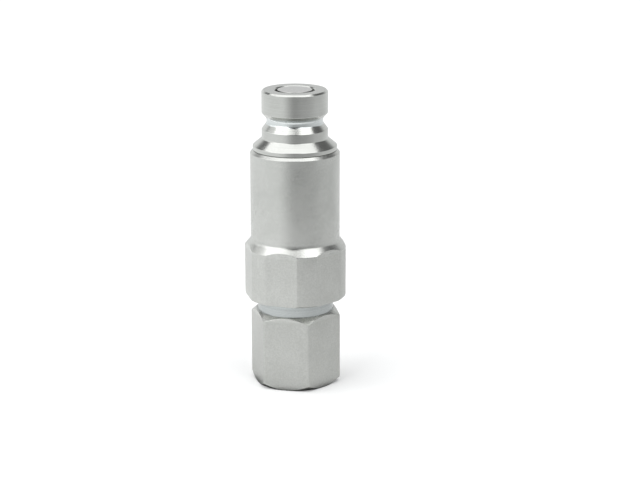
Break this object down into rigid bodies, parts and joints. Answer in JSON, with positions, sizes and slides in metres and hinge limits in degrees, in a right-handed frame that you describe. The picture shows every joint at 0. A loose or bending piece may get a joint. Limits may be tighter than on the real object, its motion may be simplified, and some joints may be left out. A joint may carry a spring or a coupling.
{
  "type": "quick disconnect coupler",
  "caption": "Male flat-face hydraulic quick coupler with a stepped round nose, spring poppet valve, round barrel, two hexagons and a female pipe port.",
  "frame": {"origin": "centre of the flat base face round the pipe port", "axes": "+Z along the coupler's axis towards the coupling nose, -Y square out of one flat of the larger hexagon"},
  "size_m": [0.038, 0.036, 0.1119],
  "materials": {
    "plated_steel": "satin zinc-nickel plated turned steel",
    "ground_steel": "fine turned and ground steel",
    "spring_steel": "drawn spring wire",
    "seal_rubber": "moulded nitrile rubber, matte",
    "backup_polymer": "machined PTFE, matte"
  },
  "bodies": {
    "housing": {"nose_body": "plated_steel", "barrel_body": "plated_steel", "end_adapter": "plated_steel", "nose_o_ring": "seal_rubber", "nose_backup_ring": "backup_polymer", "adapter_o_ring": "seal_rubber", "adapter_backup_ring": "backup_polymer", "front_guide": "ground_steel", "front_spring": "spring_steel", "valve_seat_ring": "ground_steel", "seat_ring_o_ring": "seal_rubber", "rear_guide": "ground_steel", "retaining_ring": "spring_steel", "check_spring": "spring_steel"},
    "front_valve": {"front_poppet": "ground_steel", "front_poppet_seal": "seal_rubber", "front_seal_backup_ring": "backup_polymer"},
    "check_valve": {"check_poppet": "ground_steel", "check_poppet_seal": "seal_rubber", "check_seal_retainer": "ground_steel", "relief_spring": "spring_steel", "relief_spring_retainer": "ground_steel"},
    "relief_valve": {"relief_pin": "ground_steel", "relief_pin_seal": "seal_rubber"}
  },
  "joints": [
    {"name": "front_poppet_slide", "type": "slide", "parent": "housing", "child": "front_valve", "axis": [0, 0, -1], "range_m": [0, 0.008], "stiffness_N_per_m": 2200, "springref_m": -0.012, "deforming": ["front_spring"]},
    {"name": "check_poppet_slide", "type": "slide", "parent": "housing", "child": "check_valve", "axis": [0, 0, -1], "range_m": [0, 0.006], "stiffness_N_per_m": 1500, "springref_m": -0.008, "deforming": ["check_spring"]},
    {"name": "relief_pin_slide", "type": "slide", "parent": "check_valve", "child": "relief_valve", "axis": [0, 0, -1], "range_m": [0, 0.002], "stiffness_N_per_m": 400, "springref_m": -0.004, "deforming": ["relief_spring"]}
  ],
  "couplings": [
    {"joint": "check_poppet_slide", "follows": "front_poppet_slide", "ratio": 0.75},
    {"joint": "relief_pin_slide", "follows": "front_poppet_slide", "ratio": 0.25}
  ]
}
